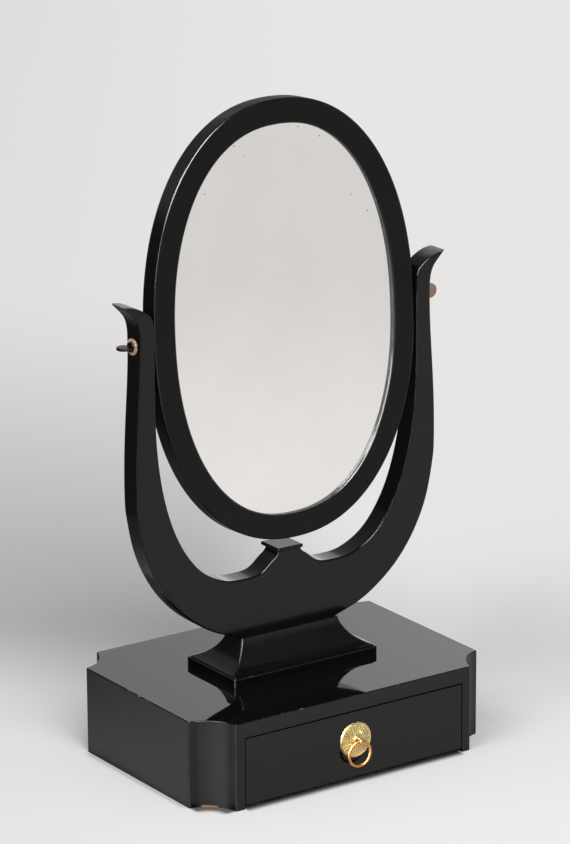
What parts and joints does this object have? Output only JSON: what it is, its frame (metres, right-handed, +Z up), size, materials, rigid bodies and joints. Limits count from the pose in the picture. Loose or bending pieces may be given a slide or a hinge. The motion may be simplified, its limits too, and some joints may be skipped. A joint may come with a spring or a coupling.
{
  "type": "tabletop dressing mirror",
  "caption": "Oval tilting mirror in a horned yoke on a moulded pedestal and a low box with scooped corners and a ring-pull drawer, for use on a table.",
  "frame": {"origin": "middle of the box's underside", "axes": "+Z up, +X to the right, the drawer opens to -Y"},
  "size_m": [0.392, 0.271, 0.6848],
  "materials": {
    "black_lacquer": "polished black lacquer with softened, slightly worn edges",
    "bare_wood": "bare planed wood",
    "silvered_glass": "old silvered glass with a few dark specks",
    "rosette_brass": "stamped yellow brass, a little tarnished",
    "ring_brass": "smooth coppery brass",
    "brown_bronze": "brown patinated bronze",
    "steel": "plain bright steel"
  },
  "bodies": {
    "base": {"top_panel": "black_lacquer", "corner_post_front_left": "black_lacquer", "corner_post_back_left": "black_lacquer", "corner_post_front_right": "black_lacquer", "corner_post_back_right": "black_lacquer", "back_panel": "black_lacquer", "bottom_board": "bare_wood", "front_rail": "black_lacquer", "side_panel_right": "black_lacquer", "side_panel_left": "black_lacquer", "drawer_guide_right": "bare_wood", "drawer_guide_left": "bare_wood", "drawer_kicker_right": "bare_wood", "drawer_kicker_left": "bare_wood", "drawer_stop_right": "bare_wood", "drawer_stop_left": "bare_wood", "pedestal_plinth": "black_lacquer", "pedestal_block": "black_lacquer", "pedestal_screws": "steel", "yoke_arm_right": "black_lacquer", "yoke_arm_left": "black_lacquer", "yoke_crescent": "black_lacquer", "yoke_cap": "black_lacquer", "washer_right": "ring_brass", "washer_left": "ring_brass"},
    "drawer": {"drawer_front": "black_lacquer", "drawer_side_left": "bare_wood", "drawer_side_right": "bare_wood", "drawer_back": "bare_wood", "drawer_bottom": "bare_wood", "pull_rosette": "rosette_brass", "pull_staple": "rosette_brass"},
    "pull_ring": {"pull_ring": "ring_brass"},
    "mirror": {"mirror_frame": "black_lacquer", "mirror_glass": "silvered_glass", "backing_board": "bare_wood", "backing_brads": "steel", "pivot_insert_left": "ring_brass", "pivot_insert_right": "ring_brass"},
    "thumbscrew_left": {"thumbscrew_left": "brown_bronze"},
    "thumbscrew_right": {"thumbscrew_right": "brown_bronze"}
  },
  "joints": [
    {"name": "mirror_tilt", "type": "hinge", "parent": "base", "child": "mirror", "pos_m": [0, 0, 0.4582], "axis": [1, 0, 0], "continuous": true},
    {"name": "drawer_slide", "type": "slide", "parent": "base", "child": "drawer", "axis": [0, -1, 0], "range_m": [0, 0.165]},
    {"name": "ring_swing", "type": "hinge", "parent": "drawer", "child": "pull_ring", "pos_m": [0, -0.1374, 0.0446], "axis": [-1, 0, 0], "range_deg": [-5, 150]},
    {"name": "left_thumbscrew_turn", "type": "hinge", "parent": "base", "child": "thumbscrew_left", "pos_m": [0, 0, 0.4582], "axis": [1, 0, 0], "range_deg": [-180, 180]},
    {"name": "right_thumbscrew_turn", "type": "hinge", "parent": "base", "child": "thumbscrew_right", "pos_m": [0, 0, 0.4582], "axis": [1, 0, 0], "range_deg": [-180, 180]}
  ]
}
